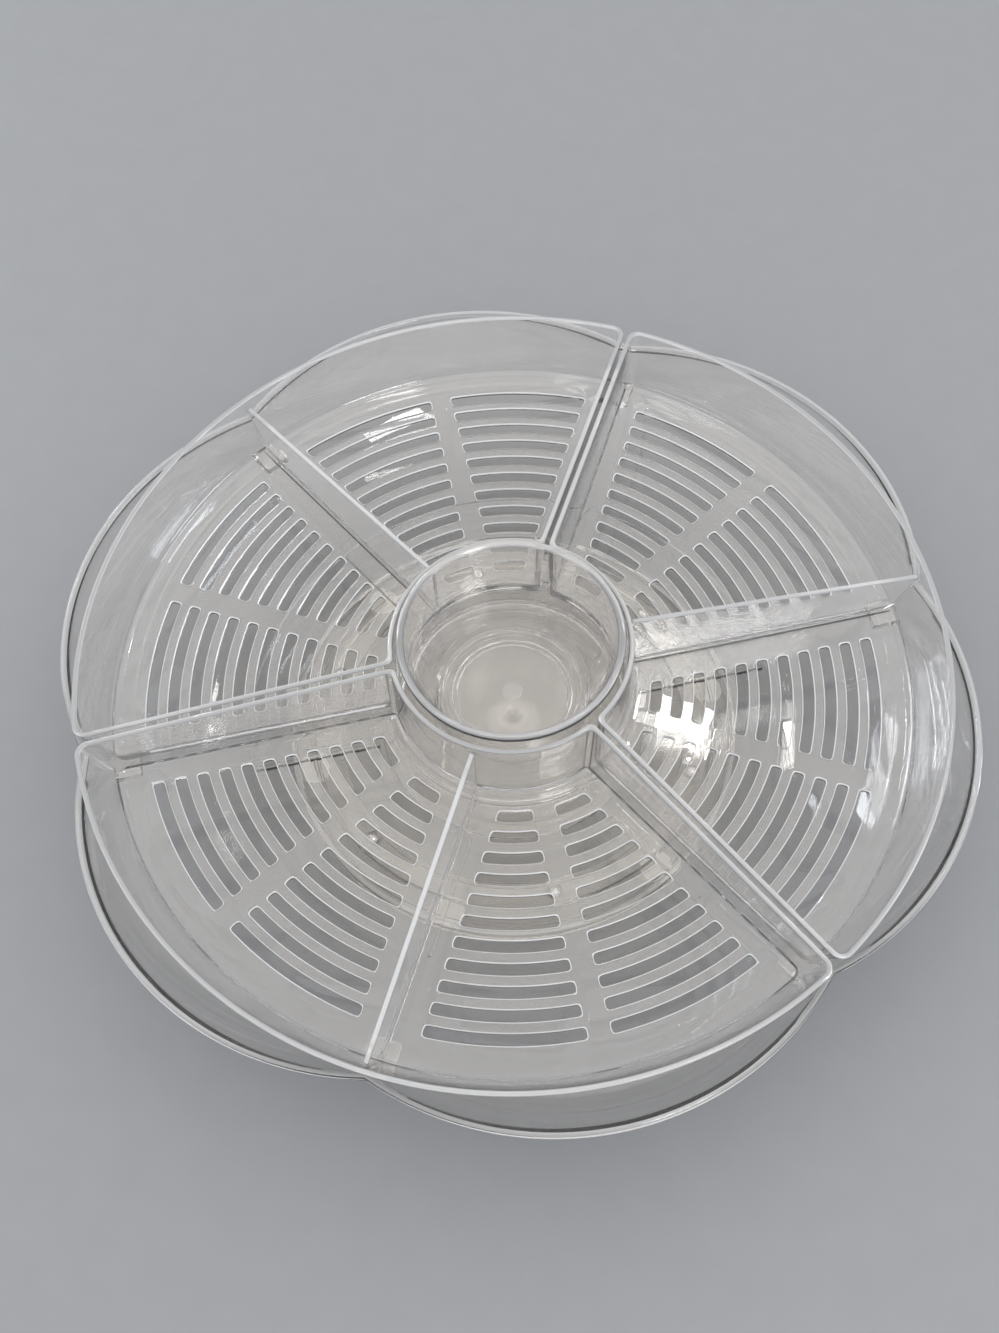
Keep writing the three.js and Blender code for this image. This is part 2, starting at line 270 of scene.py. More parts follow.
def endTree(graph, geometry, material):
    # real copies with their material on, as the tree's result
    solid = graph.add("GeometryNodeRealizeInstances", {}, {"Geometry": geometry})
    dressed = graph.add("GeometryNodeSetMaterial", {}, {"Geometry": solid, "Material": material})
    graph.add("NodeGroupOutput", {}, {"Geometry": dressed})
    return graph.tree


def runTree(piece, tree, values):
    # sets the tree's inputs by their identifiers, runs it and keeps the plain mesh
    show(piece)
    nodes = piece.modifiers.new(tree.name, "NODES")
    nodes.node_group = tree
    for socket in tree.interface.items_tree:
        if socket.in_out == "INPUT" and socket.name in values:
            nodes[socket.identifier] = values[socket.name]
    return cleanUp(bake(piece))


def ringTree():
    # copies of a shape, evenly spaced on a circle and turned to face out from its middle
    graph, given = geometryTree("ringOfCopies", {
        "Count": "Int", "Radius": "Float", "Start": "Float", "Finish": "Material"})
    count, radius = given.out("Count"), given.out("Radius")
    spots = graph.add("GeometryNodeMeshLine", {"mode": "OFFSET"}, {"Count": count, "Offset": (0, 0, 0)})
    index = graph.add("GeometryNodeInputIndex")
    angle = given.out("Start") + index * (2 * math.pi) / count
    where = graph.add("ShaderNodeCombineXYZ", {}, {
        "X": radius * angle.math("COSINE", angle), "Y": radius * angle.math("SINE", angle)})
    spots = graph.add("GeometryNodeSetPosition", {}, {"Geometry": spots, "Position": where})
    turn = graph.add("ShaderNodeCombineXYZ", {}, {"Z": angle})
    turn = graph.add("FunctionNodeEulerToRotation", {}, {"Euler": turn})
    copies = graph.add("GeometryNodeInstanceOnPoints", {}, {
        "Points": spots, "Instance": given.out("Geometry"), "Rotation": turn})
    return endTree(graph, copies, given.out("Finish"))


ringOfCopies = ringTree()


def ringOf(piece, count, radius, start, finish):
    return runTree(piece, ringOfCopies, {
        "Count": count, "Radius": radius * mm, "Start": start, "Finish": finish})


def place(piece, body, nodes, slot):
    # gives a finished piece its material and its body, and hides the nodes it stands for
    show(piece)
    even = piece.modifiers.new("evenNormals", "WEIGHTED_NORMAL")
    even.mode = "FACE_AREA_WITH_ANGLE"
    even.keep_sharp = True
    bake(piece)
    piece.data.materials.clear()
    piece.data.materials.append(finishes[slot])
    for face in piece.data.polygons:
        face.material_index = 0
    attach(piece, body)
    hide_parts(*nodes)
    print("made", piece.name, len(piece.data.polygons), "faces")


# the trays' driving sizes: the bowl, the dividers and the painted white highlights on the rims follow them
tray = {"floor": 2, "rimRadius": 190, "floorRadius": 178.3, "innerRadius": 50.6, "rimHeight": 76,
        "innerHeight": 87, "wall": 2.3, "gapTop": 0.9, "gapBottom": 2.2, "corner": 6, "leastCorner": 3,
        "cornerGrowth": 0.75, "innerCorner": 3, "innerInset": 7, "footEdge": (1.1, 0.32),
        "rimEdge": (0.9, 0.26), "stepInset": 10.2, "stepHeight": 0.6, "stepSlope": 0.5, "stepSoft": 0.15,
        "fillet": 3.2, "filletSteps": 6, "guideHeight": 2, "guideWidth": 1.2, "guideStart": 1.8,
        "guideSunk": 0.9, "guideEdge": 0.35, "dividerThickness": 2, "seat": 0.3, "dividerBelowRim": 3}
rimSlope = (tray["innerHeight"] - tray["rimHeight"]) / (tray["rimRadius"] - tray["innerRadius"])
# the cup's floor has a frosted disc about the gate mark
cupMarks = {"frost": 24.8, "gate": 4.2}


def rimHeight(radius):
    return tray["rimHeight"] + rimSlope * (tray["rimRadius"] - radius)


def newMaterial(name):
    material = bpy.data.materials.new(name)
    material.use_nodes = True
    material.node_tree.nodes.clear()
    return material, Graph(material.node_tree)


def clearPlastic(name, tint, roughness, clear, waves=0.6, specks=1.0, frost=(), bright=None):
    # Polished clear plastic: slow waves from the mould, hairline scratches, pinhead specks.
    # Lamps shine straight through it, so that what lies under it stays evenly lit.
    look = {"ior": 1.49, "waveScale": 38, "hairScale": 260, "hairStretch": 0.035,
            "hairTurns": (0.5, 1.9, 2.7), "hairFrom": 0.69, "hairTo": 0.74, "hairDepth": 0.02,
            "speckScale": 330, "speckSize": 0.09, "speckRarity": 0.93, "speckDepth": 0.12,
            "relief": 0.35, "reliefDepth": 0.4, "frostFade": 0.4,
            # colour and roughness of the white matt layer that paints highlights on rims and edges
            "paintedHighlightColour": (0.93, 0.945, 0.97, 1), "paintedHighlightRoughness": 0.3,
            "shadowTint": (0.999, 0.994, 0.987, 1)}
    material, graph = newMaterial(name)
    spot = graph.add("ShaderNodeTexCoord", output="Object")
    axis = graph.add("ShaderNodeVectorMath", {"operation": "MULTIPLY"}, {0: spot, 1: (1, 1, 0)})
    away = graph.add("ShaderNodeVectorMath", {"operation": "LENGTH"}, {0: axis}, output="Value")
    rise = graph.add("ShaderNodeSeparateXYZ", {}, {0: spot}).out("Z")
    wave = graph.add("ShaderNodeTexNoise", {}, {"Vector": spot, "Scale": look["waveScale"], "Detail": 1.5})
    hairs = None
    for turn in look["hairTurns"]:
        lay = graph.add("ShaderNodeMapping", {}, {
            "Vector": spot, "Rotation": (0.3, 0.2, turn), "Scale": (1, look["hairStretch"], 1)})
        streak = graph.add("ShaderNodeTexNoise", {}, {
            "Vector": lay, "Scale": look["hairScale"] * (1 + 0.2 * turn), "Detail": 0})
        line = graph.add("ShaderNodeMapRange", {}, {
            "Value": streak, "From Min": look["hairFrom"], "From Max": look["hairTo"],
            "To Min": 0, "To Max": 1})
        hairs = line if hairs is None else hairs + line
    cell = graph.add("ShaderNodeTexVoronoi", {}, {"Vector": spot, "Scale": look["speckScale"]})
    chance = graph.add("ShaderNodeSeparateColor", {}, {"Color": cell.out("Color")})
    near = cell.out("Distance").math("LESS_THAN", cell.out("Distance"), look["speckSize"])
    speck = near * (chance > look["speckRarity"])
    height = wave * waves - hairs * look["hairDepth"] - speck * specks * look["speckDepth"]
    bump = graph.add("ShaderNodeBump", {}, {
        "Strength": look["relief"], "Distance": look["reliefDepth"] * mm, "Height": height})
    for radius, more in frost:
        # frosted round patches about the axis, each inside the last
        roughness = roughness + graph.add("ShaderNodeMapRange", {}, {
            "Value": away, "From Min": radius * mm, "From Max": (radius - look["frostFade"]) * mm,
            "To Min": 0, "To Max": more})
    plastic = graph.add("ShaderNodeBsdfPrincipled", {}, {
        "Base Color": (*tint, 1), "Roughness": roughness, "IOR": look["ior"],
        "Transmission Weight": clear, "Normal": bump})
    if bright:
        # painted highlight: rims and slot edges get a white matt layer, in place of the light that runs
        # inside the plastic and shows white there
        crest = bright["top"] * mm - away * bright.get("slope", 0)
        paintedHighlightMask = (rise > crest) * bright["amount"]
        if "band" in bright:
            low, high, reach = bright["band"]
            inBand = (rise > low * mm) * rise.math("LESS_THAN", rise, high * mm)
            paintedHighlightMask = paintedHighlightMask + inBand * away.math("LESS_THAN", away, reach * mm) * bright["bandAmount"]
        paintedHighlightShader = graph.add("ShaderNodeBsdfPrincipled", {}, {
            "Base Color": look["paintedHighlightColour"], "Roughness": look["paintedHighlightRoughness"], "Normal": bump})
        plastic = graph.add("ShaderNodeMixShader", {}, {0: paintedHighlightMask, 1: plastic, 2: paintedHighlightShader})
    return finished(material, graph, plastic, look["shadowTint"])


def finished(material, graph, shader, shadowTint):
    # a lamp's ray goes straight through, and every other ray meets the shader
    lamp = graph.add("ShaderNodeLightPath", output="Is Shadow Ray")
    through = graph.add("ShaderNodeBsdfTransparent", {}, {"Color": shadowTint})
    both = graph.add("ShaderNodeMixShader", {}, {0: lamp, 1: shader, 2: through})
    graph.add("ShaderNodeOutputMaterial", {}, {"Surface": both})
    return material


def bearingSteel():
    # polished balls, lightly tracked by rolling
    look = {"colour": (0.72, 0.72, 0.74, 1), "worn": (0.45, 0.44, 0.43, 1), "wear": 0.6, "scale": 900,
            "polish": 0.08, "dulled": 0.14, "relief": 0.15, "reliefDepth": 0.05}
    material, graph = newMaterial("bearingSteel")
    spot = graph.add("ShaderNodeTexCoord", output="Object")
    mark = graph.add("ShaderNodeTexNoise", {}, {"Vector": spot, "Scale": look["scale"], "Detail": 3})
    colour = graph.add("ShaderNodeMix", {"data_type": "RGBA"}, {
        0: mark * look["wear"], 6: look["colour"], 7: look["worn"]}, output=2)
    bump = graph.add("ShaderNodeBump", {}, {
        "Strength": look["relief"], "Distance": look["reliefDepth"] * mm, "Height": mark})
    metal = graph.add("ShaderNodeBsdfPrincipled", {}, {
        "Base Color": colour, "Metallic": 1, "Roughness": look["polish"] + mark * look["dulled"],
        "Normal": bump})
    graph.add("ShaderNodeOutputMaterial", {}, {"Surface": metal})
    return material


def clearSilicone():
    # soft pads: milky, matt and faintly grained
    look = {"ior": 1.41, "roughness": 0.4, "grain": 1400, "relief": 0.3, "reliefDepth": 0.08, "clear": 0.9,
            "tint": (0.93, 0.94, 0.95, 1), "shadowTint": (0.9, 0.9, 0.9, 1)}
    material, graph = newMaterial("clearSilicone")
    spot = graph.add("ShaderNodeTexCoord", output="Object")
    grain = graph.add("ShaderNodeTexNoise", {}, {"Vector": spot, "Scale": look["grain"], "Detail": 2})
    bump = graph.add("ShaderNodeBump", {}, {
        "Strength": look["relief"], "Distance": look["reliefDepth"] * mm, "Height": grain})
    soft = graph.add("ShaderNodeBsdfPrincipled", {}, {
        "Base Color": look["tint"], "Roughness": look["roughness"], "IOR": look["ior"],
        "Transmission Weight": look["clear"], "Normal": bump})
    return finished(material, graph, soft, look["shadowTint"])


# each finish: tint, roughness, clearness, then what else it has
# painted highlights: the sizes given after the clearness place a white matt layer on rims, slot edges and
# bands, in place of light caught there
trayPlastic = clearPlastic("trayPlastic", (0.99, 0.985, 0.978), 0.01, 0.95, bright={
    "top": rimHeight(0) - 0.8, "slope": rimSlope, "amount": 0.34,
    "band": (48.4, 48.97, 172), "bandAmount": 0.75})
bowlPlastic = clearPlastic("bowlPlastic", (0.972, 0.958, 0.937), 0.01, 0.982, waves=0.9, bright={
    "top": 65.2, "amount": 0.25})
pivotPlastic = clearPlastic("pivotPlastic", (0.985, 0.98, 0.97), 0.03, 0.99)
finishes = {
    "clear_stand": clearPlastic("standPlastic", (0.955, 0.94, 0.915), 0.02, 0.985, bright={
        "top": 8.1, "amount": 0.3}),
    "soft_pad": clearSilicone(),
    "clear_pivot": pivotPlastic,
    "steel": bearingSteel(),
    "clear_bowl": bowlPlastic,
    "clear_tray": trayPlastic,
    "clear_divider": clearPlastic(
        "dividerPlastic", (0.985, 0.986, 0.992), 0.012, 0.945, waves=0.8, specks=2, bright={
            "top": rimHeight(0) - 3.6, "slope": rimSlope, "amount": 0.38,
            "band": (49, 49.8, 200), "bandAmount": 0.5}),
    "clear_cup": clearPlastic(
        "cupPlastic", (0.984, 0.981, 0.977), 0.01, 0.978,
        frost=((cupMarks["frost"], 0.17), (cupMarks["gate"] + 0.1, 0.15)), bright={
            "top": 91.4, "amount": 0.25, "band": (40, 44, cupMarks["gate"] + 0.1), "bandAmount": 0.02}),
}
print("materials ready")


pivotHole = 2.9    # radius of the hole for the screw, in every piece it passes through


def raceRadius():
    low, high = boxOf("ball_1")
    return (low.x + high.x) / 2


def makeStand():
    size = {"edge": 0.5, "fineEdge": 0.3, "holeEdge": 0.2, "plate": 3, "lipWidth": 2.5, "lipHeight": 4,
            "lipRound": 1.1, "lipFillet": 0.6, "railWidth": 1.5, "railHeight": 2, "railClearance": 4,
            "railFillet": 0.8, "bossFoot": 14, "bossRadius": 12, "bossFillet": 1, "pocketRadius": 9.5,
            "pocketTop": 5, "coilRings": (40, 64), "coilHeight": 0.35, "coilFoot": 1.2, "coilCrest": 0.6}
    low, high = boxOf("foot_ring")
    outer, bottom, bossTop = high.x, low.z, high.z
    top = bottom + size["plate"]
    middle = raceRadius()
    inner, outside = middle - size["railClearance"], middle + size["railClearance"]
    wide, tall = size["railWidth"], top + size["railHeight"]
    edge, fineEdge = size["edge"], size["fineEdge"]
    foot, crest, coilTop = size["coilFoot"], size["coilCrest"], top + size["coilHeight"]
    rings = []
    for radius in reversed(size["coilRings"]):
        rings += [[radius + foot, top, edge], [radius + crest, coilTop, fineEdge],
                  [radius - crest, coilTop, fineEdge], [radius - foot, top, edge]]
    section = softened([
        [pivotHole, size["pocketTop"], size["holeEdge"]],
        [size["pocketRadius"], size["pocketTop"], fineEdge],
        [size["pocketRadius"], bottom, fineEdge],
        [outer, bottom, edge],
        [outer, top + size["lipHeight"], size["lipRound"]],
        [outer - size["lipWidth"], top + size["lipHeight"], size["lipRound"]],
        [outer - size["lipWidth"], top, size["lipFillet"]],
        [outside + wide, top, edge],
        [outside + wide, tall, edge],
        [outside, tall, edge],
        [outside, top, size["railFillet"]],
        [inner, top, size["railFillet"]],
        [inner, tall, edge],
        [inner - wide, tall, edge],
        [inner - wide, top, edge],
        *rings,
        [size["bossFoot"], top, size["bossFillet"]],
        [size["bossRadius"], bossTop, edge],
        [pivotHole, bossTop, fineEdge],
    ])
    place(turned("standRing", section, 160), "stand", ["foot_ring"], "clear_stand")


def makePads():
    size = {"count": 6, "dish": 0.35, "dishSlope": 1, "rim": 1.4, "rimEdge": 0.3, "edge": 0.4}
    low, high = boxOf("foot_pad_1")
    radius, height = (high.x - low.x) / 2, high.z
    centre = (low + high) / 2
    dished = radius - size["rim"]
    pad = turned("footPads", softened([
        [0, size["dish"]],
        [dished - size["dishSlope"], size["dish"], size["rimEdge"]],
        [dished, 0, size["rimEdge"]],
        [radius, 0, size["edge"]],
        [radius, height, size["edge"]],
        [0, height],
    ], 2), 40)
    pads = ringOf(pad, size["count"], math.hypot(centre.x, centre.y), sixth / 2, finishes["soft_pad"])
    place(pads, "stand", [f"foot_pad_{k + 1}" for k in range(size["count"])], "soft_pad")


def makeScrew():
    size = {"shank": 2.4, "shankEdge": 0.1, "tip": 0.5, "tipLength": 0.6, "tipEdge": 0.2, "headHeight": 2.6,
            "headUnder": 0.2, "headEdge": 0.7, "crown": 1, "crownInset": 1.2, "recess": 5.2,
            "recessWidth": 1.1, "recessDepth": 1.3, "recessEdge": 0.15, "turns": 9, "pitch": 0.9,
            "plainShank": 1, "threadFlat": 0.1, "threadDepth": 0.3}
    low, high = boxOf("pivot_screw")
    shank, head = size["shank"], high.x
    headBottom = high.z - size["headHeight"]
    thread = []
    for turn in range(size["turns"]):
        base = headBottom - size["plainShank"] - turn * size["pitch"]
        thread += [[shank, base - size["threadFlat"]],
                   [shank - size["threadDepth"], base - size["pitch"] / 2]]
    screw = show(turned("pivotScrew", softened([
        [0, low.z],
        [shank - size["tip"], low.z, size["tipEdge"]],
        [shank, low.z + size["tipLength"]],
        *reversed(thread),
        [shank, headBottom, size["shankEdge"]],
        [head, headBottom, size["headUnder"]],
        [head, high.z - size["crown"], size["headEdge"]],
        [head - size["crownInset"], high.z, size["headEdge"]],
        [0, high.z],
    ], 2), 48))
    half, wide = size["recess"] / 2, size["recessWidth"] / 2
    for across in (0, math.pi / 2):
        slot = block("slot", (-half, -wide, high.z - size["recessDepth"]), (half, wide, high.z + 1),
                     size["recessEdge"])
        slot.data.transform(Matrix.Rotation(across, 4, "Z"))
        combine(screw, slot, "DIFFERENCE")
    place(cleanUp(screw), "stand", ["pivot_screw"], "clear_pivot")


def makeNut():
    size = {"radius": 5, "chamfer": 0.5, "faceInset": 0.2, "faceShare": 0.2}
    low, high = boxOf("pivot_nut")
    apothem = size["radius"] * math.cos(sixth / 2)
    cut, face, share = size["chamfer"], apothem - size["faceInset"], size["faceShare"]

    def hexagon(angle):
        away = (angle % sixth) - sixth / 2
        return apothem / math.cos(away) - apothem

    nut = turned("pivotNut", [
        [pivotHole + cut, low.z], [face, low.z, share], [apothem, low.z + cut, 1],
        [apothem, high.z - cut, 1], [face, high.z, share], [pivotHole + cut, high.z],
        [pivotHole, high.z - cut], [pivotHole, low.z + cut]], 48, hexagon)
    place(nut, "stand", ["pivot_nut"], "clear_pivot")


def makeWashers():
    edges = {"upper": 0.3, "thrust": 0.25}
    for kind, edge in edges.items():
        low, high = boxOf(f"{kind}_washer")
        washer = turned(f"{kind}Washer", softened([
            [pivotHole, low.z, edge], [high.x, low.z, edge],
            [high.x, high.z, edge], [pivotHole, high.z, edge]]), 72)
        place(washer, "stand", [f"{kind}_washer"], "clear_pivot")


makeStand()
makePads()
makeScrew()
makeNut()
makeWashers()


# the cage's holes clear the balls by the play, and their cutter stands past both faces
race = {"balls": 6, "play": 0.5, "edge": 0.35, "past": 1, "arcSteps": 20}


def makeCage():
    low, high = boxOf("ball_cage")
    ballLow, ballHigh = boxOf("ball_1")
    middle, edge, past = raceRadius(), race["edge"], race["past"]
    wide = high.x - middle
    cage = show(turned("ballCage", softened([
        [middle - wide, low.z, edge], [middle + wide, low.z, edge],
        [middle + wide, high.z, edge], [middle - wide, high.z, edge]], 2), 180))
    hole = (ballHigh.z - ballLow.z) / 2 + race["play"]
    flare = hole + past + edge
    cutter = turned("cutter", [
        [0, low.z - past], [flare, low.z - past], [hole, low.z + edge],
        [hole, high.z - edge], [flare, high.z + past], [0, high.z + past]], 32)
    combine(cage, ringOf(cutter, race["balls"], middle, 0, pivotPlastic), "DIFFERENCE")
    place(cleanUp(cage), "race", ["ball_cage"], "clear_pivot")


def makeBalls():
    low, high = boxOf("ball_1")
    radius, middle = (high.z - low.z) / 2, (low.z + high.z) / 2
    arc = [math.pi * (k / race["arcSteps"] - 0.5) for k in range(race["arcSteps"] + 1)]
    ball = turned("raceBalls", [[radius * math.cos(a), middle + radius * math.sin(a)] for a in arc], 32)
    balls = ringOf(ball, race["balls"], raceRadius(), 0, finishes["steel"])
    place(balls, "race", [f"ball_{k + 1}" for k in range(race["balls"])], "steel")


makeCage()
makeBalls()


def makeBowl():
    size = {"floor": 2.6, "floorRadius": 125, "wall": 2.5, "lobeArc": 129.5, "lobeOffset": 75,
            "lobeGrowth": 1.4, "lipDepth": 2.4, "lipEdge": 1.1, "lipFillet": (1.4, 0.3, 0.97),
            "lipUnder": (0.2, 0.25), "levels": 26, "levelSpread": 1.7, "holeEdge": 0.3, "heel": (3, 1, 0.25),
            "beadRings": (66.5, 93.5, 101, 123.8), "beadHeight": 0.8, "beadWidth": 1.8, "beadDrop": 0.12,
            "ledgeInner": 167.3, "ledgeWidth": 14, "ledgeDepth": 5, "ledgeEdge": 1.2, "ledges": 6,
            "ribInner": 63, "ribOuter": 121, "ribWidth": 2, "ribTop": 2.3, "ribEdge": 0.6, "ribs": 6,
            "sunkRib": 0.7, "sunkLedge": 1}
    low, high = boxOf("ice_bowl")
    bottom, lip = low.z, high.z
    floorTop = bottom + size["floor"]
    wall, edge = size["wall"], size["lipEdge"]
    shoulder = 0.3 * edge    # how far a rounded edge's middle point is from the corner

    def lobeRadius(angle):
        # the lip is six arcs whose middles stand off the axis
        away = (angle + sixth / 2) % sixth - sixth / 2
        across = size["lobeOffset"] * math.sin(away)
        return size["lobeOffset"] * math.cos(away) + math.sqrt(size["lobeArc"] ** 2 - across ** 2)

    valley = lobeRadius(sixth / 2)

    def lobe(angle):
        return lobeRadius(angle) - valley

    def innerRadius(height):
        down = (lip - height) / (lip - floorTop)
        reach = valley - wall - size["floorRadius"]
        return size["floorRadius"] + reach * math.sqrt(1 - down ** 2)

    inner = []
    for level in range(size["levels"] + 1):
        height = floorTop + (lip - edge - floorTop) * (level / size["levels"]) ** size["levelSpread"]
        share = ((height - floorTop) / (lip - floorTop)) ** size["lobeGrowth"]
        inner.append([innerRadius(height), height, share])
    lipFoot = lip - size["lipDepth"]
    inset, drop, filletShare = size["lipFillet"]
    under, underRise = size["lipUnder"]
    outer = []
    for before, (radius, height, share) in zip(inner, inner[1:]):
        across, up = radius - before[0], height - before[1]
        slope = math.hypot(across, up)
        point = [radius + wall * up / slope, height - wall * across / slope, share]
        if point[1] < lipFoot - 2 * drop:
            outer.append(point)
    rim = [
        [valley - inset, lipFoot - drop, filletShare],
        [valley - under, lipFoot, 1],
        [valley, lipFoot + underRise, 1],
        [valley, lip - edge, 1],
        [valley - shoulder, lip - shoulder, 1],
        [valley - edge, lip, 1],
        [valley - wall + edge, lip, 1],
        [valley - wall + shoulder, lip - shoulder, 1],
    ]
    beads = []
    half, crest = size["beadWidth"] / 2, floorTop + size["beadHeight"]
    side, sideTop = 0.6 * half, crest - size["beadDrop"]
    for radius in sorted(size["beadRings"], reverse=True):
        beads += [[radius + half, floorTop], [radius + side, sideTop], [radius, crest],
                  [radius - side, sideTop], [radius - half, floorTop]]
    holeEdge = size["holeEdge"]
    flatEnd, heelReach, heelRise = size["heel"]
    section = [
        [pivotHole, bottom + holeEdge], [pivotHole + holeEdge, bottom],
        [size["floorRadius"] - flatEnd, bottom], [size["floorRadius"] + heelReach, bottom + heelRise],
        *outer, *rim, *reversed(inner), *beads,
        [pivotHole + holeEdge, floorTop], [pivotHole, floorTop - holeEdge],
    ]
    piece = show(turned("iceBowl", section, 240, lobe))

    seatTop = boxOf("tray_front")[0].z - tray["seat"]
    seatFoot, half = seatTop - size["ledgeDepth"], size["ledgeWidth"] / 2
    ledge = block("ledge", (size["ledgeInner"], -half, seatFoot),
                  (innerRadius(seatFoot) + size["sunkLedge"], half, seatTop), size["ledgeEdge"])
    combine(piece, ringOf(ledge, size["ledges"], 0, sixth / 2, bowlPlastic), "UNION")
    half = size["ribWidth"] / 2
    rib = block("rib", (size["ribInner"], -half, floorTop - size["sunkRib"]),
                (size["ribOuter"], half, floorTop + size["ribTop"]), size["ribEdge"])
    combine(piece, ringOf(rib, size["ribs"], 0, sixth / 2, bowlPlastic), "UNION")
    place(cleanUp(piece), "bowl", ["ice_bowl"], "clear_bowl")


def makePedestal():
    size = {"wall": 2.5, "footEdge": 0.5, "taper": 3.5, "rimWidth": 3.9, "rimEdge": 1.2, "dip": 9.6,
            "dipFillet": 1.6, "under": 10.4, "underFillet": 2.5, "groove": (30.6, 34), "grooveSlope": 0.8,
            "grooveDepth": 0.35, "grooveEdge": 0.3, "seat": 0.3}
    low, high = boxOf("center_pedestal")
    radius, bottom, top = high.x, low.z, high.z
    plate = boxOf("dip_cup")[0].z - size["seat"]
    wall, slope, edge = size["wall"], size["grooveSlope"], size["grooveEdge"]
    grooveStart, grooveEnd = size["groove"]
    grooveFloor = plate - size["grooveDepth"]
    rim = radius - size["taper"]
    piece = turned("centerPedestal", softened([
        [0, plate - wall],
        [radius - size["under"], plate - wall, size["underFillet"]],
        [radius - wall, bottom, size["footEdge"]],
        [radius, bottom, size["footEdge"]],
        [rim, top, size["rimEdge"]],
        [rim - size["rimWidth"], top, size["rimEdge"]],
        [radius - size["dip"], plate, size["dipFillet"]],
        [grooveEnd, plate, edge],
        [grooveEnd - slope, grooveFloor, edge],
        [grooveStart + slope, grooveFloor, edge],
        [grooveStart, plate, edge],
        [0, plate],
    ]), 160)
    place(piece, "bowl", ["center_pedestal"], "clear_bowl")


makeBowl()
makePedestal()


# the slots' sizes, by the names of the tree's inputs; a column keeps To Wall and To Middle from its sides
vents = {"Rows": 11, "First": 64.5, "Pitch": 9.65, "Width": 5, "To Wall": 13.2, "To Middle": 5,
         "Corner": 1.5, "Chamfer": 0.45, "Bottom": 47, "Top": 49}
places = {"front": 270, "right": 30, "left": 150}    # the direction of each tray's middle


def halfWedge(inner, outer, offset, outerCorner, innerCorner):
    # from the middle of the outer arc round to the middle of the inner arc of a 120 degree wedge
    steps = {"outer": 30, "outerCorner": 7, "innerCorner": 5, "inner": 16}

    def alongSide(radius, corner):
        return math.sqrt((radius + corner) ** 2 - (offset + abs(corner)) ** 2)

    side = Vector((math.cos(sixth), math.sin(sixth)))
    inward = Vector((side.y, -side.x))
    outerCentre = (alongSide(outer, -outerCorner), offset + outerCorner)
    innerCentre = (alongSide(inner, innerCorner), offset + innerCorner)
    outerAngle = sixth - math.atan2(outerCentre[1], outerCentre[0])
    innerAngle = sixth - math.atan2(innerCentre[1], innerCentre[0])

    def arc(centre, radius, start, end, count):
        angles = [start + (end - start) * i / count for i in range(count + 1)]
        return [(centre[0] + radius * math.cos(a), centre[1] + radius * math.sin(a)) for a in angles]

    outward = sixth + math.pi / 2
    outerAt = side * outerCentre[0] + inward * outerCentre[1]
    innerAt = side * innerCentre[0] + inward * innerCentre[1]
    return [
        *arc((0, 0), outer, 0, outerAngle, steps["outer"])[:-1],
        *arc(outerAt, outerCorner, outerAngle, outward, steps["outerCorner"]),
        *arc(innerAt, innerCorner, outward, innerAngle + math.pi, steps["innerCorner"]),
        *arc((0, 0), inner, innerAngle, 0, steps["inner"])[1:],
    ]


def trayLoop(share, lift, inset):
    # one loop of the tray's skin: share runs from the underside to the rim, inset inwards from the faces
    bottom = vents["Bottom"]
    nominal = share + lift / (tray["rimHeight"] - bottom)
    outer = tray["floorRadius"] + nominal * (tray["rimRadius"] - tray["floorRadius"]) - inset
    offset = tray["gapBottom"] + nominal * (tray["gapTop"] - tray["gapBottom"]) + inset
    corner, least = tray["corner"] - inset, tray["leastCorner"]
    if corner < least:
        corner = least + (least - corner) * tray["cornerGrowth"]
    inner = tray["innerRadius"] + min(inset, tray["innerInset"])
    half = halfWedge(inner, outer, offset, corner, tray["innerCorner"])
    loop = half + [(x, -y) for x, y in half[1:-1][::-1]]
    return [(x, y, bottom + share * (rimHeight(math.hypot(x, y)) - bottom) + lift) for x, y in loop]


def trayShell():
    # up the outside, over the rim, down the inside and across the floor's step
    wall, floor, fillet, step = tray["wall"], tray["floor"], tray["fillet"], tray["stepHeight"]
    (foot, footMiddle), (rim, rimMiddle) = tray["footEdge"], tray["rimEdge"]
    inset, slope, soft = tray["stepInset"], tray["stepSlope"], tray["stepSoft"]
    section = [(0, 0, foot), (0, footMiddle, footMiddle), (0, foot, 0),
               (1, -rim, 0), (1, -rimMiddle, rimMiddle), (1, 0, rim),
               (1, 0, wall - rim), (1, -rimMiddle, wall - rimMiddle), (1, -rim, wall)]
    for k in range(tray["filletSteps"] + 1):
        angle = math.pi / 2 * k / tray["filletSteps"]
        section.append((0, floor + step + fillet * (1 - math.sin(angle)),
                        wall + fillet * (1 - math.cos(angle))))
    section += [(0, floor + step, inset - slope), (0, floor + step - soft, inset - soft),
                (0, floor + soft, inset + soft), (0, floor, inset + slope)]
    return stacked("trayShell", [trayLoop(*entry) for entry in section])


def dividerGuide(side):
    half = tray["guideWidth"] / 2
    across = side * (tray["dividerThickness"] / 2 + tray["seat"] + half)
    floorTop = vents["Top"]
    low = (tray["innerRadius"] + tray["guideStart"], across - half, floorTop - tray["guideSunk"])
    high = (tray["floorRadius"] - tray["wall"], across + half, floorTop + tray["guideHeight"])
    return block("guide", low, high, tray["guideEdge"])


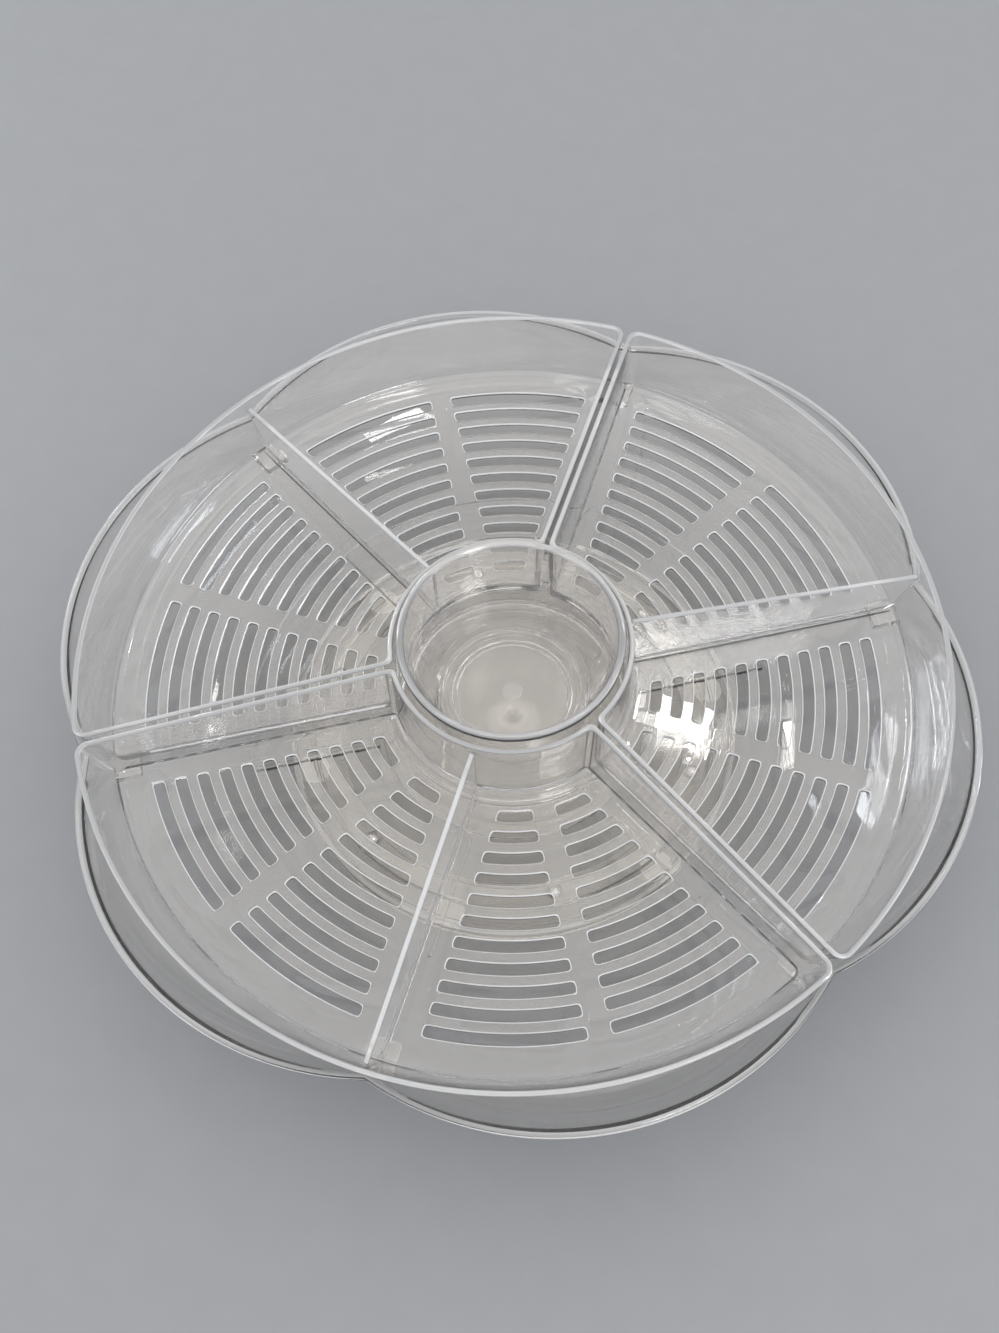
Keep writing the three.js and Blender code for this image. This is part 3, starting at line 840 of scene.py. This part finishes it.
def ventTree():
    # Rows of slots that follow circles about the axis, in four columns, cut out of the tray's floor.
    # Each slot starts as a gridded cube, whose outermost rows of points give its round corners and edges.
    columns, longSpans, shortSpans = 4, 13, 3
    cornerPull = 0.29    # 1 - cos 45 degrees: how far a round corner's middle point is drawn in
    spare = 0.4 * mm    # how far a slot's cutter stands past the floor
    columnAngle = 2 * sixth / columns
    sizes = {label: "Float" for label in vents}
    graph, given = geometryTree("ventSlots", {**sizes, "Finish": "Material"})
    fullCorner, chamfer = given.out("Corner"), given.out("Chamfer")
    count = given.out("Rows") * columns
    spots = graph.add("GeometryNodeMeshLine", {"mode": "OFFSET"}, {"Count": count, "Offset": (0, 0, 0)})
    index = graph.add("GeometryNodeInputIndex")
    spots = graph.add("GeometryNodeStoreNamedAttribute", {"data_type": "FLOAT", "domain": "POINT"}, {
        "Geometry": spots, "Name": "slotNumber", "Value": index})
    cube = graph.add("GeometryNodeMeshCube", {}, {
        "Size": (2, 2, 2), "Vertices X": longSpans + 1, "Vertices Y": shortSpans + 1,
        "Vertices Z": shortSpans + 1})
    slots = graph.add("GeometryNodeInstanceOnPoints", {}, {"Points": spots, "Instance": cube})
    slots = graph.add("GeometryNodeRealizeInstances", {}, {"Geometry": slots})

    number = graph.add("GeometryNodeInputNamedAttribute", {"data_type": "FLOAT"}, {"Name": "slotNumber"})
    where = graph.add("ShaderNodeSeparateXYZ", {}, {0: graph.add("GeometryNodeInputPosition")})
    x, y, z = where.out("X"), 0 - where.out("Y"), where.out("Z")

    def held(value):
        value = value.math("MINIMUM", value, 1)
        return value.math("MAXIMUM", value, -1)

    def outermost(value):
        size = value.math("ABSOLUTE", value)
        return (size > 0.95) * value.math("SIGN", value)

    along, across = held(x * (longSpans / (longSpans - 2))), held(y * (shortSpans / (shortSpans - 2)))
    end, side, face = outermost(x), outermost(y), outermost(z)
    atCorner = end.math("ABSOLUTE", end) * side.math("ABSOLUTE", side)
    corner = fullCorner * (1 - atCorner * cornerPull)
    flare = (chamfer + spare) * face.math("ABSOLUTE", face)

    column = number % columns
    row = (number - column) / columns
    odd = column % 2
    ray = (column - columns / 2) * columnAngle
    startOffset = given.out("To Middle") * odd + given.out("To Wall") * (1 - odd)
    endOffset = given.out("To Middle") * (1 - odd) + given.out("To Wall") * odd
    radius = given.out("First") + row * given.out("Pitch")
    radius = radius + across * (given.out("Width") * 0.5 - fullCorner) + side * (corner + flare)
    begin = startOffset / radius
    begin = ray + begin.math("ARCSINE", begin)
    finish = endOffset / radius
    finish = ray + columnAngle - finish.math("ARCSINE", finish)
    angle = (begin + finish) * 0.5 + along * ((finish - begin) * 0.5 - fullCorner / radius)
    angle = angle + end * (corner + flare) / radius
    thick = (given.out("Top") - given.out("Bottom")) * 0.5
    middle = (given.out("Top") + given.out("Bottom")) * 0.5
    inside = z.math("SIGN", z) * (thick - chamfer)
    height = middle + inside + face * (chamfer + spare)
    spot = graph.add("ShaderNodeCombineXYZ", {}, {
        "X": radius * angle.math("COSINE", angle), "Y": radius * angle.math("SINE", angle), "Z": height})
    slots = graph.add("GeometryNodeSetPosition", {}, {"Geometry": slots, "Position": spot})
    cut = graph.add("GeometryNodeMeshBoolean", {"operation": "DIFFERENCE", "solver": "MANIFOLD"}, {
        "Mesh 1": given.out("Geometry"), "Mesh 2": slots})
    cut = graph.add("GeometryNodeTriangulate", {}, {"Mesh": cut})
    return endTree(graph, cut, given.out("Finish"))


def turnedCopies(master, kind):
    # a copy of the master for each of the three places, then the master goes
    for name, degrees in places.items():
        piece = bpy.data.objects.new(f"{name}{kind.title()}", master.data.copy())
        piece.data.transform(Matrix.Rotation(math.radians(degrees), 4, "Z"))
        place(piece, f"{name}_{kind}", [f"{kind}_{name}"], f"clear_{kind}")
    bpy.data.objects.remove(master)


def makeTrays():
    pins = {"radius": 4, "depth": 0.15, "below": 1,
            "spots": ((126, -4), (98, 30), (98, -30), (150, 30), (150, -30))}
    shell = show(trayShell())
    for side in (1, -1):
        combine(shell, dividerGuide(side), "UNION")
    start, end = vents["Bottom"] - pins["below"], vents["Bottom"] + pins["depth"]
    for away, degrees in pins["spots"]:
        mark = turned("mark", [[0, start], [pins["radius"], start], [pins["radius"], end], [0, end]], 32)
        angle = math.radians(degrees)
        spot = (away * math.cos(angle) * mm, away * math.sin(angle) * mm, 0)
        mark.data.transform(Matrix.Translation(spot))
        combine(shell, mark, "DIFFERENCE")
    sizes = {label: value * mm for label, value in vents.items()}
    sizes["Rows"] = float(vents["Rows"])
    runTree(shell, ventTree(), {**sizes, "Finish": trayPlastic})
    turnedCopies(shell, "tray")


def makeDividers():
    size = {"edge": 0.4, "corner": 1.2, "footCorner": 0.8}
    bottom = vents["Top"] + tray["seat"]
    lean = (tray["rimRadius"] - tray["floorRadius"]) / (tray["rimHeight"] - vents["Bottom"])
    slack = tray["wall"] + 2 * tray["seat"]

    def wallFace(height):
        return tray["floorRadius"] + lean * (height - vents["Bottom"]) - slack

    inner = tray["innerRadius"] + tray["wall"] + tray["seat"]
    tip = tray["rimHeight"] - tray["dividerBelowRim"]
    foot = tray["fillet"] + tray["stepHeight"]
    corners = softened([
        [inner + foot, bottom, size["footCorner"]],
        [wallFace(bottom) - foot, bottom, size["footCorner"]],
        [wallFace(bottom + foot), bottom + foot, size["footCorner"]],
        [wallFace(tip), tip, size["corner"]],
        [inner, rimHeight(inner) - tray["dividerBelowRim"], size["corner"]],
        [inner, bottom + foot, size["footCorner"]],
    ], 4)
    half, edge = tray["dividerThickness"] / 2, size["edge"]
    shoulder = 0.3 * edge
    middle = Vector((sum(x for x, z in corners), sum(z for x, z in corners))) / len(corners)

    def loop(across, inset):
        points = []
        for i, corner in enumerate(corners):
            here = Vector(corner)
            along = (Vector(corners[(i + 1) % len(corners)]) - Vector(corners[i - 1])).normalized()
            inward = Vector((-along.y, along.x))
            if inward.dot(middle - here) < 0:
                inward = -inward
            spot = here + inward * inset
            points.append((spot.x, across, spot.y))
        return points

    turnedCopies(stacked("dividerSheet", [
        loop(half, edge), loop(half - shoulder, shoulder), loop(half - edge, 0),
        loop(edge - half, 0), loop(shoulder - half, shoulder), loop(-half, edge)]), "divider")


makeTrays()
makeDividers()


def makeCup():
    size = {"footRadius": 27.2, "footWidth": 2.4, "footHeight": 1.4, "footEdge": 0.6, "footFillet": 0.4,
            "floorRadius": 35.2, "floor": 2.2, "heelInset": 1.2, "heelLean": 1.6, "heelHeight": 5,
            "heelRound": 3, "innerHeel": 6.4, "innerLean": 0.6, "innerFloor": 4.5, "rimWidth": 3,
            "rimEdge": 1.2, "rimStep": 1.1, "rimFoot": 3, "rimSide": 2.4, "dish": (29.4, 28.8),
            "dishDepth": 0.4, "raised": 0.3, "gateHeight": 0.45, "gateTop": 1.2, "gateDip": 0.2, "edge": 0.3}
    low, high = boxOf("dip_cup")
    foot, rim, radius = low.z, high.z, high.x
    base = foot + size["footHeight"]
    floorTop = base + size["floor"]
    outerFloor = size["floorRadius"]
    footInside = size["footRadius"] - size["footWidth"]
    dishEdge, dishStart = size["dish"]
    dishFloor = floorTop - size["dishDepth"]
    disc, frost = dishFloor + size["raised"], cupMarks["frost"]
    gate, gateTop = cupMarks["gate"], floorTop + size["gateHeight"]
    piece = turned("dipCup", softened([
        [0, base],
        [footInside, base, size["edge"]],
        [footInside, foot, size["footEdge"]],
        [size["footRadius"], foot, size["footEdge"]],
        [size["footRadius"], base, size["footFillet"]],
        [outerFloor - size["heelInset"], base, 2],
        [outerFloor + size["heelLean"], base + size["heelHeight"], size["heelRound"]],
        [radius - size["rimStep"], rim - size["rimFoot"], 0.4],
        [radius, rim - size["rimSide"], 0.5],
        [radius, rim, size["rimEdge"]],
        [radius - size["rimWidth"], rim, size["rimEdge"]],
        [outerFloor - size["innerLean"], base + size["innerHeel"], size["heelRound"]],
        [outerFloor - size["innerFloor"], floorTop, size["heelRound"]],
        [dishEdge, floorTop, size["edge"]],
        [dishStart, dishFloor, size["edge"]],
        [frost + 0.4, dishFloor, size["edge"]],
        [frost - 0.2, disc, size["edge"]],
        [gate + 0.4, disc, 0.2],
        [gate, gateTop, 0.35],
        [gate - size["gateTop"], gateTop - size["gateDip"], size["edge"]],
        [0, floorTop + 0.1],
    ]), 180)
    place(piece, "cup", ["dip_cup"], "clear_cup")


makeCup()


def makeFloor():
    look = {"half": 30, "drop": 0.05, "scale": 60, "roughness": 0.55,
            "colour": (0.286, 0.297, 0.313, 1), "clouded": (0.264, 0.273, 0.289, 1)}
    half = look["half"]
    corners = [(-half, -half), (half, -half), (half, half), (-half, half)]
    points = [(x / mm, y / mm, -look["drop"]) for x, y in corners]
    floor = meshFrom("studioFloor", points, [[0, 1, 2, 3]])
    material, graph = newMaterial("floorPaint")
    spot = graph.add("ShaderNodeTexCoord", output="Object")
    cloud = graph.add("ShaderNodeTexNoise", {}, {"Vector": spot, "Scale": look["scale"], "Detail": 6})
    colour = graph.add("ShaderNodeMix", {"data_type": "RGBA"}, {
        0: cloud, 6: look["colour"], 7: look["clouded"]}, output=2)
    paint = graph.add("ShaderNodeBsdfPrincipled", {}, {"Base Color": colour, "Roughness": look["roughness"]})
    graph.add("ShaderNodeOutputMaterial", {}, {"Surface": paint})
    floor.data.materials.append(material)
    show(floor)


def makeLights():
    softboxes = {
        # azimuth and elevation in degrees, distance, width and height in metres, power, colour
        "backBox": (90.5, 63.3, 2.16, 0.1, 0.055, 0.9, (1, 0.99, 0.97)),
        "rightBox": (-34, 60, 2.2, 0.45, 0.3, 7, (1, 1, 1)),
        "leftBox": (155, 32, 2.4, 0.7, 0.5, 9, (0.9, 0.94, 1)),
        "windowBox": (9, 28, 2.4, 0.8, 0.5, 9, (0.84, 0.91, 1)),
        "frontBox": (-110, 35, 2.8, 1.4, 0.6, 5, (0.95, 0.96, 1)),
    }
    for name, (azimuth, elevation, distance, width, height, power, colour) in softboxes.items():
        lamp = bpy.data.lights.new(name, "AREA")
        lamp.shape = "RECTANGLE"
        lamp.size, lamp.size_y = width, height
        lamp.energy = power
        lamp.color = colour
        box = bpy.data.objects.new(name, lamp)
        flat, rise = math.radians(azimuth), math.radians(elevation)
        away = Vector((math.cos(flat) * math.cos(rise), math.sin(flat) * math.cos(rise), math.sin(rise)))
        box.location = away * distance
        box.rotation_euler = away.to_track_quat("Z", "Y").to_euler()
        show(box)


def makeSky():
    look = {"strength": 1.26, "stops": [
        (0.0, (0.97, 0.98, 1.0)), (0.38, (0.7, 0.72, 0.78)),
        (0.7, (0.74, 0.725, 0.7)), (1.0, (0.9, 0.865, 0.81))]}
    world = bpy.data.worlds.new("studioWorld")
    world.use_nodes = True
    world.node_tree.nodes.clear()
    graph = Graph(world.node_tree)
    sky = graph.add("ShaderNodeTexCoord", output="Generated")
    rise = graph.add("ShaderNodeSeparateXYZ", {}, {0: sky}).out("Z")
    colour = graph.add("ShaderNodeValToRGB", {"stops": look["stops"]}, {0: rise})
    light = graph.add("ShaderNodeBackground", {}, {"Color": colour, "Strength": look["strength"]})
    graph.add("ShaderNodeOutputWorld", {}, {"Surface": light})
    scene.world = world


def makeCamera():
    view = {"lens": 42.548, "elevation": 61.4229, "azimuth": 19.6909, "distance": 678.535, "roll": -2.2724,
            "target": (-2.965, -7.325, 76)}
    data = bpy.data.cameras.new("camera")
    data.lens = view["lens"]
    camera = bpy.data.objects.new("camera", data)
    rise, roll = math.radians(view["elevation"]), math.radians(view["roll"])
    back = Vector((0, -math.cos(rise), math.sin(rise)))
    up = Vector((0, math.sin(rise), math.cos(rise)))
    right = Vector((1, 0, 0))
    tilted = right * math.cos(roll) + up * math.sin(roll)
    upright = up * math.cos(roll) - right * math.sin(roll)
    turn = Matrix.Rotation(math.radians(view["azimuth"]), 3, "Z")
    axes = Matrix((turn @ tilted, turn @ upright, turn @ back)).transposed()
    spot = Vector(view["target"]) * mm + turn @ back * view["distance"] * mm
    camera.matrix_world = Matrix.Translation(spot) @ axes.to_4x4()
    show(camera)
    scene.camera = camera


makeFloor()
makeLights()
makeSky()
makeCamera()
scene.view_settings.view_transform = "Standard"
scene.cycles.caustics_refractive = False    # the lamps already shine through the plastic
scene.cycles.caustics_reflective = False
bounces = 32    # a view through all the layers crosses more than a dozen surfaces
scene.cycles.max_bounces = bounces
scene.cycles.transmission_bounces = bounces
scene.cycles.transparent_max_bounces = bounces
print("studio ready")
